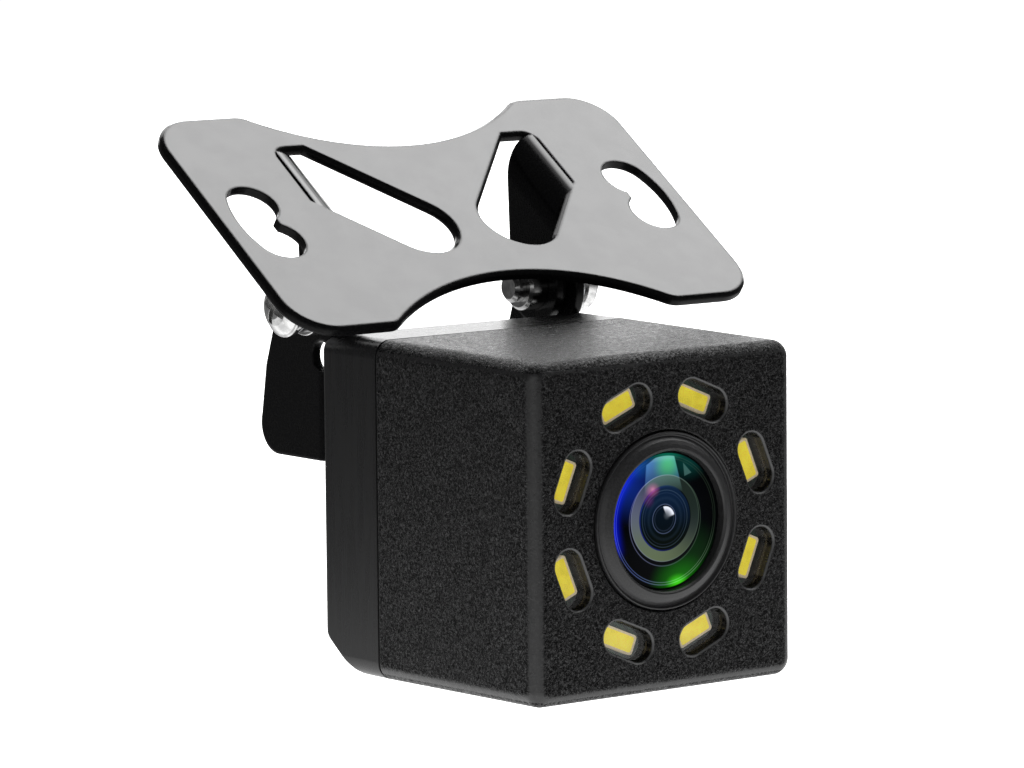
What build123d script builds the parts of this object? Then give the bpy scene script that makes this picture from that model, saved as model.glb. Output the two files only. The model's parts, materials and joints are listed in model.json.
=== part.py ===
"""Backup camera on a tilting butterfly bracket, as separate solids. Millimetres.

Origin: where the lens axis crosses the flat front face of the housing.
+X to the right seen from in front, +Y into the camera, +Z up. The lens looks along -Y.
"""
import os
from math import acos, atan2, cos, radians, sin, sqrt

from build123d import *

os.makedirs("parts", exist_ok=True)

# ---- housing ----
FACE_W = 26.0
TOP_Z = 13.22
BOTTOM_Z = -13.55
DRAFT = 0.65
PARTING_Y = 20.0
HOUSING_D = 27.4
CORNER_R = 1.35
FRONT_EDGE_R = 1.2
WALL = 1.5
FRONT_WALL = 1.9
COVER_CUT_Y = 4.3
COVER_CUT_Z = 3.2
COVER_CUT_R = 2.4
COVER_TOP_R = 1.8
COVER_SIDE_R = 0.6
SEAM = 0.14

# ---- lamps ----
LED_COUNT = 8
LED_RING_R = 9.9
WINDOW_L = 5.2
WINDOW_W = 2.8
WINDOW_BEVEL = 0.12
PAD_FRONT = 0.6
PAD_BACK = 0.95
LED_L = 3.4
LED_W = 1.62
LED_FACE_Y = 1.3
PHOSPHOR_L = 3.05
PHOSPHOR_W = 1.28
LED_BOARD_Y = 1.95
LED_BOARD_T = 1.0

# ---- lens ----
LENS_OPENING_R = 7.08
BEZEL_R = 6.98
BEZEL_IN_R = 5.45
BEZEL_PROUD = 0.55
GLASS_Y = 0.2
GLASS_SAG = 0.55
BARREL_R = 6.0
BORE_R = 4.6

# ---- boards ----
SENSOR_BOARD_Y = 14.6
SENSOR_BOARD_T = 1.2
POWER_BOARD_Y = 19.6
POWER_BOARD_T = 1.0
LENS_END_Y = 11.6

# ---- fasteners of the housing ----
POST_X = 9.4
YOKE_SCREW_Z = 7.6
COVER_SCREW_Z = -7.4
BOARD_POST_Z = 10.1

# ---- bracket ----
PIVOT_Y = 29.9
PIVOT_Z = 15.5
TILT = 35.1
PLATE_T = 0.8
PLATE_RISE = 7.94
PLATE_L = 46.4
PLATE_FRONT = -11.78
PLATE_BACK = 14.72
PLATE_CORNER_R = 4.0
WAIST_HALF_L = 13.9
WAIST_SAG = 4.85
TAB_IN = 10.35
TAB_T = PLATE_T
TAB_R = 3.1
TAB_WINDOW_R = 3.28
WINDOW_SLANT = 47.4
TAB_TOP_FRONT = 2.4
TAB_TOP_REAR = 10.0
TAB_BEND_R = 2.75
WINDOW_TOP = 10.2
ROLL_OVER = 0.3
EAR_IN = 11.8
EAR_T = 0.8
EAR_R = 3.85
YOKE_BOTTOM = 3.0
YOKE_TOP = 10.25
SCREW_R = 1.25
SCREW_TIP_X = 7.65
NUT_END_X = 8.6
NUT_R = 1.95
SLIP = 0.03
FLAT_WASHER_T = 0.5
LOCK_WASHER_T = 0.95
FLAT_WASHER_X = EAR_IN + EAR_T + SLIP
LOCK_WASHER_X = FLAT_WASHER_X + FLAT_WASHER_T
SCREW_SEAT_X = LOCK_WASHER_X + LOCK_WASHER_T

# ---- cable ----
CABLE_Z = -6.5
CABLE_R = 1.6
CABLE_END_Y = 40.0
CORE_R = 0.4
CORE_PITCH = 0.92

PIVOT = Vector(0, PIVOT_Y, PIVOT_Z)
PLATE_N = Vector(0, -sin(radians(TILT)), cos(radians(TILT)))
# Plate frame: x along the width, y up the slope of the plate, origin over the pivot on the top face.
PLATE = Plane(origin=PIVOT + PLATE_N * PLATE_RISE, x_dir=(1, 0, 0), z_dir=PLATE_N)
SIDE = Plane(origin=(0, 0, 0), x_dir=(0, 1, 0), z_dir=(1, 0, 0))


def save(node, solids):
    """Write one node, from one solid or a group of separate solids."""
    shape = solids if isinstance(solids, list) else [solids]
    flat = [s for part in shape for s in part.solids()]
    export_step(Compound(children=flat), f"parts/{node}.step")


def prism(sketch, y0, y1):
    """Extrude a sketch drawn as seen from in front, from depth y0 to y1."""
    return extrude(Plane.XZ.offset(-y0) * sketch, amount=y1 - y0, dir=(0, 1, 0))


def disc(r, y0, y1, x=0.0, z=0.0):
    return prism(Pos(x, z) * Circle(r), y0, y1)


def tube(r_out, r_in, y0, y1, x=0.0, z=0.0):
    return disc(r_out, y0, y1, x, z) - disc(r_in, y0 - 0.01, y1 + 0.01, x, z)


def block(x0, x1, y0, y1, z0, z1):
    return Pos((x0 + x1) / 2, (y0 + y1) / 2, (z0 + z1) / 2) * Box(x1 - x0, y1 - y0, z1 - z0)


def turned(points):
    """Solid of revolution about the lens axis, from (depth, radius) points."""
    outline = make_face(Polyline([(r, y) for y, r in points], close=True))
    return revolve(Plane.XY * outline, Axis.Y)


def ball_cap(radius, centre_y, cut_r):
    """Sphere on the lens axis, trimmed to a radius."""
    reach = 2 * radius
    return Pos(0, centre_y, 0) * Sphere(radius) & disc(cut_r, centre_y - reach, centre_y + reach)


def mirrored(solid):
    """The same solid on the left and the right."""
    return [solid, mirror(solid, about=Plane.YZ)]


def section(y):
    """Outer section of the housing at a depth: the draft widens it towards the parting line."""
    grow = 2 * y * sin(radians(DRAFT))
    outline = RectangleRounded(FACE_W + grow, TOP_Z - BOTTOM_Z + grow, CORNER_R + grow / 4)
    return Pos(0, (TOP_Z + BOTTOM_Z) / 2) * outline


def seam_rebate(y0, y1):
    """Shallow step all round the outside, which leaves a shadow line at the parting."""
    grow = 2 * PARTING_Y * sin(radians(DRAFT)) - 2 * SEAM
    kept = RectangleRounded(FACE_W + grow, TOP_Z - BOTTOM_Z + grow, CORNER_R)
    return prism(Rectangle(40, 40), y0, y1) - prism(Pos(0, (TOP_Z + BOTTOM_Z) / 2) * kept, y0 - 1, y1 + 1)


def led_places():
    for k in range(LED_COUNT):
        turn = 22.5 + 45 * k
        yield Rot(0, 0, turn) * Pos(LED_RING_R, 0) * Rot(0, 0, 90)


def window_hole(clearance):
    """Outline of the lamp opening below its bevel, less a clearance all round."""
    inset = 2 * (WINDOW_BEVEL + clearance)
    return SlotOverall(WINDOW_L - inset, WINDOW_W - inset)


def is_lens_rim(edge):
    """True for the edge where the lens opening meets the front face."""
    if edge.geom_type != GeomType.CIRCLE:
        return False
    return abs(edge.radius - LENS_OPENING_R) < 0.01 and edge.center().Y < 0.01


# ---------------------------------------------------------------- housing
def front_shell():
    outer = loft([Plane.XZ * section(0), Plane.XZ.offset(-PARTING_Y) * section(PARTING_Y)], ruled=True)
    front_edges = outer.faces().sort_by(Axis.Y)[0].edges()
    outer = fillet(front_edges, FRONT_EDGE_R)
    outer -= seam_rebate(PARTING_Y - SEAM, PARTING_Y + 1)
    cavity = RectangleRounded(FACE_W - 2 * WALL, 2 * TOP_Z - 2 * WALL, 1.2)
    shell = outer - prism(cavity, FRONT_WALL, PARTING_Y + 1)
    shell += tube(8.0, LENS_OPENING_R, FRONT_WALL - 0.2, 3.8)
    for x in (-POST_X, POST_X):
        side = 1 if x > 0 else -1
        for z in (YOKE_SCREW_Z, COVER_SCREW_Z):
            post = disc(1.9, 8.0, 17.9, x, z)
            web = block(min(x, side * 11.6), max(x, side * 11.6), 8.0, 17.9, z - 0.8, z + 0.8)
            shell += post + web
    for z in (-BOARD_POST_Z, BOARD_POST_Z):
        side = 1 if z > 0 else -1
        post = disc(1.2, FRONT_WALL - 0.2, SENSOR_BOARD_Y, 0, z)
        rib = block(-0.5, 0.5, FRONT_WALL - 0.2, SENSOR_BOARD_Y, min(z, side * 11.9), max(z, side * 11.9))
        shell += post + rib
    shell -= disc(LENS_OPENING_R, -1, 4.0)
    for place in led_places():
        shell -= prism(place * window_hole(0), -1, FRONT_WALL + 0.1)
    face = shell.faces().filter_by(Axis.Y).sort_by(Axis.Y)[0]
    rims = [loop.edges() for loop in face.inner_wires()]
    lamp_edges = [edge for loop in rims for edge in loop if edge.center().length > 7.5]
    shell = chamfer(lamp_edges, WINDOW_BEVEL)
    shell = chamfer(shell.edges().filter_by(is_lens_rim), 0.12)
    for x in (-POST_X, POST_X):
        for z in (YOKE_SCREW_Z, COVER_SCREW_Z):
            shell -= disc(0.85, 11.8, 18.0, x, z)
        shell -= disc(0.5, 0.7, 2.0, x * 9.6 / POST_X, 0)
    for z in (-BOARD_POST_Z, BOARD_POST_Z):
        shell -= disc(0.6, SENSOR_BOARD_Y - 4.2, SENSOR_BOARD_Y + 0.1, 0, z)
    return shell


def cover_profile():
    """Side view of the cover: the lower rear corner is cut off at a slant, all corners eased."""
    spread = PARTING_Y * sin(radians(DRAFT))
    low = BOTTOM_Z - spread
    high = TOP_Z + spread
    corners = [(PARTING_Y - 1, low), (HOUSING_D - COVER_CUT_Y, low), (HOUSING_D, low + COVER_CUT_Z),
               (HOUSING_D, high), (PARTING_Y - 1, high)]
    outline = make_face(Polyline(corners, close=True))
    slant = [v for v in outline.vertices() if v.X > PARTING_Y and v.Y < 0]
    outline = fillet(slant, COVER_CUT_R)
    upper = [v for v in outline.vertices() if v.X > PARTING_Y and v.Y > 0]
    return fillet(upper, COVER_TOP_R)


def rear_cover():
    outer = prism(section(PARTING_Y), PARTING_Y, HOUSING_D)
    outer = fillet(outer.faces().sort_by(Axis.Y)[-1].edges(), COVER_SIDE_R)
    outer -= seam_rebate(PARTING_Y - 1, PARTING_Y + SEAM / 2)
    outer &= extrude(SIDE.offset(-20) * cover_profile(), amount=40)
    cavity = RectangleRounded(21.0, 21.4, 1.0)
    cover = outer - prism(cavity, PARTING_Y - 1, HOUSING_D - WALL)
    tongue = RectangleRounded(22.9, 23.34, 1.1)
    cover += prism(tongue, 18.0, PARTING_Y + 0.1) - prism(cavity, 17.9, PARTING_Y + 1)
    bounds = prism(tongue, 17.9, PARTING_Y) + block(-12, 12, PARTING_Y - 0.1, HOUSING_D - 0.5, -12, 12)
    for x in (-POST_X, POST_X):
        for z in (YOKE_SCREW_Z, COVER_SCREW_Z):
            cover += disc(2.1, 18.0, HOUSING_D - WALL + 0.1, x, z) & bounds
    groove = prism(RectangleRounded(24, 24.4, 1.6), 18.9, 19.6)
    cover -= groove - prism(RectangleRounded(22.1, 22.54, 0.8), 18.8, 19.7)
    for x in (-POST_X, POST_X):
        cover -= disc(1.0, 17.5, HOUSING_D + 1, x, YOKE_SCREW_Z)
        cover -= disc(1.0, 17.5, HOUSING_D + 1, x, COVER_SCREW_Z)
        cover -= disc(1.85, 25.6, HOUSING_D + 1, x, COVER_SCREW_Z)
    cover -= disc(2.2, HOUSING_D - WALL - 1, HOUSING_D + 1, 0, CABLE_Z)
    return cover


def cover_seal():
    outer = RectangleRounded(22.94, 23.38, 1.25)
    inner = RectangleRounded(22.14, 22.58, 0.8)
    return prism(outer, 18.95, 19.55) - prism(inner, 18.9, 19.6)


def small_screw(r, length, head_r, head_h):
    """Pan head screw, tip towards -Y, seat of the head at the origin."""
    shank = disc(r, -length, 0.05)
    shank = chamfer(shank.edges().sort_by(Axis.Y)[0], r * 0.35)
    head = disc(head_r, 0, head_h)
    head = fillet(head.edges().sort_by(Axis.Y)[-1], head_h * 0.45)
    cross = block(-head_r * 0.62, head_r * 0.62, head_h * 0.45, head_h + 1, -head_r * 0.13, head_r * 0.13)
    return shank + head - cross - Rot(0, 90, 0) * cross


def screws_at(places, y, r, length, head_r, head_h):
    screw = small_screw(r, length, head_r, head_h)
    return [Pos(x, y, z) * screw for x, z in places]


# ---------------------------------------------------------------- lamps
def window_pads():
    pads = []
    for place in led_places():
        pad = prism(place * window_hole(0.04), PAD_FRONT, PAD_BACK)
        pads.append(chamfer(pad.faces().sort_by(Axis.Y)[0].edges(), 0.06))
    return pads


def led_packages():
    solids = []
    for place in led_places():
        body = prism(place * RectangleRounded(LED_L, LED_W, 0.25), LED_FACE_Y, LED_BOARD_Y)
        pocket = RectangleRounded(PHOSPHOR_L, PHOSPHOR_W, 0.2)
        solids.append(body - prism(place * pocket, 1, LED_FACE_Y + 0.35))
    return solids


def led_phosphors():
    solids = []
    for place in led_places():
        fill = RectangleRounded(PHOSPHOR_L - 0.02, PHOSPHOR_W - 0.02, 0.19)
        solids.append(prism(place * fill, LED_FACE_Y + 0.03, LED_FACE_Y + 0.34))
    return solids


def led_board():
    y0, y1 = LED_BOARD_Y, LED_BOARD_Y + LED_BOARD_T
    board = tube(11.3, 8.2, y0, y1)
    for z in (-BOARD_POST_Z, BOARD_POST_Z):
        board -= disc(1.4, y0 - 1, y1 + 1, 0, z)
        board -= block(-0.8, 0.8, y0 - 1, y1 + 1, min(z, z * 1.3), max(z, z * 1.3))
    for x in (-9.6, 9.6):
        board -= disc(0.7, y0 - 1, y1 + 1, x, 0)
    return board


def led_resistors():
    y = LED_BOARD_Y + LED_BOARD_T
    solids = []
    for k in range(8):
        turn = 22.5 + 45 * k
        place = Rot(0, 0, turn) * Pos(9.7, 0) * Rot(0, 0, 90)
        solids.append(prism(place * Rectangle(1.6, 0.8), y, y + 0.5))
    return solids


def led_wires():
    """Two insulated wires from the LED board to the sensor board."""
    wires = []
    for z in (-8.2, -9.4):
        wires.append(disc(0.35, LED_BOARD_Y + LED_BOARD_T, SENSOR_BOARD_Y, 4.9, z))
    return wires


# ---------------------------------------------------------------- lens
def lens_bezel():
    crown = [
        (1.6, 6.22), (1.6, BEZEL_R), (-0.10, BEZEL_R), (-0.18, BEZEL_R - 0.04), (-0.20, BEZEL_R - 0.09),
        (-0.16, BEZEL_R - 0.15), (0.0, BEZEL_R - 0.24), (0.02, BEZEL_R - 0.32), (-0.05, BEZEL_R - 0.42),
        (-0.28, BEZEL_R - 0.66), (-0.44, BEZEL_R - 0.96), (-BEZEL_PROUD, BEZEL_IN_R + 0.28),
        (-0.53, BEZEL_IN_R + 0.16), (-0.40, BEZEL_IN_R + 0.06), (0.05, BEZEL_IN_R), (0.42, BEZEL_IN_R),
        (0.42, 5.98), (0.7, 5.98), (0.7, 6.22),
    ]
    return turned(crown)


def front_element():
    edge_r = 5.9
    front_r = (BEZEL_IN_R ** 2 + GLASS_SAG ** 2) / (2 * GLASS_SAG)
    centre = GLASS_Y - GLASS_SAG + front_r
    dome = ball_cap(front_r, centre, BEZEL_IN_R - 0.05) & block(-9, 9, -5, 1.0, -9, 9)
    body = disc(edge_r, 0.48, 2.15) + dome
    hollow_r = (3.7 ** 2 + 1.2 ** 2) / 2.4
    return body - Pos(0, 0.95 + hollow_r, 0) * Sphere(hollow_r)


def lens_barrel():
    head = [(0.75, 5.98), (0.75, 6.18), (1.65, 6.18), (1.65, 6.9), (2.3, 6.9), (2.3, 6.2), (3.3, 6.2),
            (3.3, 6.9), (4.2, 6.9), (4.2, BARREL_R), (LENS_END_Y, BARREL_R), (LENS_END_Y, BORE_R),
            (2.8, BORE_R), (2.8, 3.75), (2.2, 3.75), (2.2, 5.98)]
    return turned(head)


def lens_o_ring():
    return Pos(0, 2.8, 0) * Rot(90, 0, 0) * Torus(6.64, 0.42)


def spacer_front():
    return turned([(2.85, BORE_R - 0.05), (4.0, BORE_R - 0.05), (4.0, 2.7), (2.85, 3.6)])


def second_element():
    body = disc(BORE_R - 0.05, 4.02, 5.2)
    dome_r = (2.6 ** 2 + 0.5 ** 2) / 1.0
    return body + (ball_cap(dome_r, 4.02 - 0.5 + dome_r, 2.6) & block(-9, 9, 0, 4.5, -9, 9))


def rear_pair():
    shared = 9.0
    bulge = Pos(0, 8.5 - shared, 0) * Sphere(shared)
    crown = disc(BORE_R - 0.05, 6.65, 9.3) & bulge
    flint = disc(BORE_R - 0.05, 7.2, 9.3) - Pos(0, 8.5 - shared, 0) * Sphere(shared + 0.01)
    return crown, flint


def lens_holder():
    wall = disc(7.2, 7.0, SENSOR_BOARD_Y)
    flange = prism(RectangleRounded(14.4, 14.4, 1.0), 12.4, SENSOR_BOARD_Y)
    holder = wall + flange
    holder -= disc(BARREL_R + 0.03, 6.9, 11.75)
    holder -= disc(4.2, 11.0, 12.6)
    holder -= prism(Rectangle(8.8, 8.8), 12.15, SENSOR_BOARD_Y + 0.1)
    for x, z in ((6.1, -6.1), (-6.1, 6.1)):
        holder -= disc(0.62, 12.9, SENSOR_BOARD_Y + 0.1, x, z)
    return holder


# ---------------------------------------------------------------- boards
def sensor_board():
    y0, y1 = SENSOR_BOARD_Y + 0.02, SENSOR_BOARD_Y + SENSOR_BOARD_T
    board = prism(RectangleRounded(20.4, 22.4, 1.0), y0, y1)
    for x in (-POST_X, POST_X):
        for z in (YOKE_SCREW_Z, COVER_SCREW_Z):
            board -= disc(2.15, y0 - 1, y1 + 1, x, z)
            board -= block(min(x, x * 1.4), max(x, x * 1.4), y0 - 1, y1 + 1, z - 2.15, z + 2.15)
    for x, z in ((0, BOARD_POST_Z), (0, -BOARD_POST_Z), (6.1, -6.1), (-6.1, 6.1)):
        board -= disc(0.8, y0 - 1, y1 + 1, x, z)
    return board


def power_board():
    y0, y1 = POWER_BOARD_Y, POWER_BOARD_Y + POWER_BOARD_T
    return prism(RectangleRounded(13.6, 19.0, 0.8), y0, y1)


def header_pins():
    y0, y1 = SENSOR_BOARD_Y + SENSOR_BOARD_T, POWER_BOARD_Y
    return [block(x - 0.3, x + 0.3, y0, y1, 7.2, 7.8) for x in (-5, -3, -1, 1, 3, 5)]


def header_block():
    bar = block(-6.0, 6.0, 16.6, 18.8, 6.6, 8.4)
    for x in (-5, -3, -1, 1, 3, 5):
        bar -= block(x - 0.33, x + 0.33, 16, 19.4, 7.17, 7.83)
    return bar


def chip(x, z, w, h, y, t):
    body = block(x - w / 2, x + w / 2, y, y + t, z - h / 2, z + h / 2)
    return chamfer(body.faces().sort_by(Axis.Y)[-1].edges(), min(t, w, h) * 0.12)


def capacitors():
    y = SENSOR_BOARD_Y + SENSOR_BOARD_T
    places = [(-5.2, 0.0), (5.2, 0.0), (-5.2, -2.4), (5.2, -2.4), (0.0, -6.2), (2.4, -6.2)]
    return [block(x - 0.5, x + 0.5, y, y + 0.8, z - 0.8, z + 0.8) for x, z in places]


def inductor():
    y = POWER_BOARD_Y + POWER_BOARD_T
    body = block(-5.6, -1.2, y, y + 2.4, 2.0, 6.4)
    return chamfer(body.edges().filter_by(Axis.Y), 0.7)


def electrolytic():
    y = POWER_BOARD_Y + POWER_BOARD_T
    can = disc(2.1, y + 0.3, y + 4.3, 3.3, 4.2)
    can = fillet(can.edges().sort_by(Axis.Y)[-1], 0.4)
    base = block(1.1, 5.5, y, y + 0.3, 2.0, 6.4)
    return can + base


# ---------------------------------------------------------------- cable
def core_places():
    half = CORE_PITCH / 2
    return [(-half, CABLE_Z - half), (half, CABLE_Z - half), (-half, CABLE_Z + half), (half, CABLE_Z + half)]


def cable_socket():
    y = POWER_BOARD_Y + POWER_BOARD_T
    outer = block(-3.4, 3.4, y, y + 2.6, CABLE_Z - 2.2, CABLE_Z + 2.2)
    return outer - block(-2.8, 2.8, y + 0.6, y + 3, CABLE_Z - 1.6, CABLE_Z + 1.6)


def cable_plug():
    y = POWER_BOARD_Y + POWER_BOARD_T
    plug = block(-2.7, 2.7, y + 0.7, y + 3.4, CABLE_Z - 1.5, CABLE_Z + 1.5)
    for x, z in core_places():
        plug -= disc(CORE_R + 0.02, y + 1.7, y + 4, x, z)
    return plug


def cable_core(index):
    x, z = core_places()[index]
    return disc(CORE_R, POWER_BOARD_Y + POWER_BOARD_T + 1.75, CABLE_END_Y + 0.8, x, z)


def cable_jacket():
    return Pos(0, 0, CABLE_Z) * (disc(CABLE_R, 25.2, CABLE_END_Y) - disc(1.09, 25.1, CABLE_END_Y + 0.1))


def cable_boot():
    rear = HOUSING_D + 0.05
    outline = [(24.9, 1.63), (24.9, 2.9), (25.85, 2.9), (25.85, 2.15), (rear, 2.15), (rear, 3.4), (28.5, 3.4),
               (29.0, 2.9), (35.4, 2.15), (35.6, 1.95), (35.6, 1.63)]
    boot = turned(outline)
    for k in range(4):
        y = 29.8 + 1.3 * k
        boot -= tube(4, 2.05, y, y + 0.5)
    return Pos(0, 0, CABLE_Z) * boot


# ---------------------------------------------------------------- yoke and bracket
def ear_outline():
    """Side view of an ear: base by the bend, slanted rear edge, round top over the pivot."""
    foot = Polyline([(28.65, YOKE_BOTTOM), (34.3, YOKE_BOTTOM), (36.7, 5.4), (35.9, 10.2), (34.85, 13.2),
                     (33.6, 16.5), (PIVOT_Y, PIVOT_Z), (28.65, 13.2)], close=True)
    side = make_face(foot)
    corner = Pos(34.3, 5.4) * Circle(2.4)
    lobe = Pos(PIVOT_Y, PIVOT_Z) * Circle(EAR_R)
    notch = Pos(28.2, 11.5) * Circle(1.25)
    return side + corner + lobe - notch


def yoke():
    plan_out = Pos(0, 33.45) * RectangleRounded(2 * (EAR_IN + EAR_T), 12.0, 1.2)
    plan_in = Pos(0, 34.25) * RectangleRounded(2 * EAR_IN, 12.0, 0.4)
    strip = extrude(Plane.XY.offset(YOKE_BOTTOM) * (plan_out - plan_in), amount=YOKE_TOP - YOKE_BOTTOM)
    strip &= block(-20, 20, 27, 28.75, 0, 20)
    ear = extrude(SIDE.offset(EAR_IN) * ear_outline(), amount=EAR_T)
    body = strip + ear + mirror(ear, about=Plane.YZ)
    for x in (-POST_X, POST_X):
        body -= disc(0.98, 27, 29, x, YOKE_SCREW_Z)
    hole = Pos(0, PIVOT_Y, PIVOT_Z) * Rot(0, 90, 0) * Cylinder(SCREW_R + 0.06, 40)
    return body - hole


def kidney(side):
    """Slot of two merged round lobes whose outboard side is one flat arc touching both."""
    upper = Pos(side * 18.95, 3.65) * Circle(2.2)
    lower = Pos(side * 18.95, -0.85) * Circle(2.2)
    neck = Pos(side * 19.0, 1.4) * Rectangle(2.4, 2.8)
    swell = Pos(side * 12.8, 1.4) * Circle(8.745)
    outboard = Pos(side * 20.35, 1.4) * Rectangle(2.8, 6.0)
    return upper + lower + neck + (swell & outboard)


def lean_band(width):
    """Band that leans from the pivot lobe up to the bend line, in flat (across, along) coordinates."""
    return Pos(0, 12) * Rectangle(width, 24)


def tab_window(side):
    """Opening the tab is lanced from: round end inboard, straight bend line outboard."""
    centre = (side * 4.97, -0.3)
    lobe = Pos(*centre) * Circle(TAB_WINDOW_R)
    band = Pos(*centre) * Rot(0, 0, -side * (90 - WINDOW_SLANT)) * lean_band(2 * TAB_WINDOW_R)
    bend_x = TAB_IN + TAB_BEND_R
    frame = Pos(side * bend_x / 2, 0) * Rectangle(bend_x, 2 * WINDOW_TOP)
    frame = fillet(frame.vertices(), 1.1)
    return (lobe + band) & frame


def touch_point(x, y, turn):
    """Where the line from a point touches the tab's lobe, in the plate frame."""
    dx, dy = x, y + PLATE_RISE
    reach = sqrt(dx * dx + dy * dy)
    angle = atan2(dy, dx) + turn * acos(TAB_R / reach)
    return TAB_R * cos(angle), TAB_R * sin(angle) - PLATE_RISE


def tab_side():
    """Side view of a tab in the plate frame (along, height): bend line above, round lobe below."""
    lobe = Pos(0, -PLATE_RISE) * Circle(TAB_R)
    front = touch_point(TAB_TOP_FRONT, 0, 1)
    rear = touch_point(TAB_TOP_REAR, 0, -1)
    flank = [(TAB_TOP_FRONT, 0), front, (0, -PLATE_RISE), rear, (TAB_TOP_REAR, 0)]
    return lobe + make_face(Polyline(flank, close=True))


def is_window_rim(edge):
    """True along a tab window's top edge, except at the bend line and the two corners beside it."""
    c = edge.center()
    return abs(c.X) < TAB_IN + TAB_BEND_R - 1.2 and -5 < c.Y < WINDOW_TOP + 0.1


def mounting_plate():
    blank = RectangleRounded(PLATE_L, PLATE_BACK - PLATE_FRONT, PLATE_CORNER_R)
    sheet = Pos(0, (PLATE_FRONT + PLATE_BACK) / 2) * blank
    waist_r = (WAIST_HALF_L ** 2 + WAIST_SAG ** 2) / (2 * WAIST_SAG)
    sheet -= Pos(0, PLATE_FRONT + WAIST_SAG - waist_r) * Circle(waist_r)
    sheet -= Pos(0, PLATE_BACK - WAIST_SAG + waist_r) * Circle(waist_r)
    kinks = sheet.vertices().filter_by(lambda v: abs(abs(v.X) - WAIST_HALF_L) < 0.2)
    sheet = fillet(kinks, 2.0)
    for side in (-1, 1):
        sheet -= kidney(side)
        sheet -= tab_window(side)
    plate = extrude(sheet, amount=-PLATE_T)
    rims = [edge for edge in plate.faces().sort_by(Axis.Z)[-1].edges() if is_window_rim(edge)]
    plate = chamfer(rims, ROLL_OVER)
    across = Plane(origin=(0, 0, 0), x_dir=(0, 1, 0), z_dir=(1, 0, 0))
    bend_x = TAB_IN + TAB_BEND_R
    outline = extrude(across.offset(TAB_IN) * tab_side(), amount=TAB_BEND_R)
    ring = Cylinder(TAB_BEND_R, 60) - Cylinder(TAB_BEND_R - TAB_T, 61)
    ring = Pos(bend_x, 0, -TAB_BEND_R) * Rot(90, 0, 0) * ring
    quarter = ring & block(TAB_IN - 0.5, bend_x, -40, 40, -TAB_BEND_R, 0)
    straight = block(TAB_IN, TAB_IN + TAB_T, -40, 40, -30, -TAB_BEND_R)
    tab = outline & (quarter + straight)
    hole = Pos(0, 0, -PLATE_RISE) * Rot(0, 90, 0) * Cylinder(NUT_R + 0.02, 40)
    body = plate + tab + mirror(tab, about=Plane.YZ) - hole
    return PLATE * body


def along_x(sketch_r, x0, x1):
    return Pos((x0 + x1) / 2, PIVOT_Y, PIVOT_Z) * Rot(0, 90, 0) * Cylinder(sketch_r, x1 - x0)


def clinch_nut():
    body = along_x(NUT_R, NUT_END_X, TAB_IN + TAB_T - 0.05)
    body = chamfer(body.edges().sort_by(Axis.X)[0], 0.25)
    return body - along_x(SCREW_R + 0.01, 5, 15)


def turned_x(points):
    """Solid of revolution about the pivot axis, from (x, radius) points."""
    outline = make_face(Polyline(points, close=True))
    return Pos(0, PIVOT_Y, PIVOT_Z) * revolve(Plane.XY * outline, Axis.X)


def pivot_screw():
    seat = SCREW_SEAT_X
    outline = [(SCREW_TIP_X, 0), (SCREW_TIP_X, SCREW_R - 0.3), (SCREW_TIP_X + 0.3, SCREW_R), (seat, SCREW_R),
               (seat, 2.1), (seat + 0.3, 2.28), (seat + 0.7, 2.4), (seat + 1.0, 2.45), (seat + 1.12, 2.38),
               (seat + 1.17, 2.22), (seat + 1.36, 2.1), (seat + 1.62, 1.82), (seat + 1.84, 1.46),
               (seat + 2.02, 0.92), (seat + 2.1, 0.0)]
    screw = turned_x(outline)
    wide = Pos(seat + 1.95, PIVOT_Y, PIVOT_Z) * Rot(25, 0, 0) * Box(1.6, 2.7, 0.55)
    tall = Pos(seat + 1.95, PIVOT_Y, PIVOT_Z) * Rot(25, 0, 0) * Box(1.6, 0.55, 2.7)
    return screw - wide - tall


def washer(r, x0, x1):
    return along_x(r, x0, x1) - along_x(SCREW_R + 0.08, x0 - 1, x1 + 1)


def flat_washer():
    return fillet(washer(2.45, FLAT_WASHER_X, LOCK_WASHER_X).edges(), 0.08)


def lock_washer():
    """Split ring; the slit crosses it at a slant, over the top."""
    slit = Pos(LOCK_WASHER_X + LOCK_WASHER_T / 2, PIVOT_Y, PIVOT_Z + 1.8) * Rot(0, 0, 35) * Box(3, 0.3, 2.4)
    return washer(2.15, LOCK_WASHER_X, SCREW_SEAT_X) - slit


def friction_washer():
    """Nylon washer that fills the space between the tab and the ear."""
    return washer(2.5, TAB_IN + TAB_T, EAR_IN - SLIP)


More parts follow.
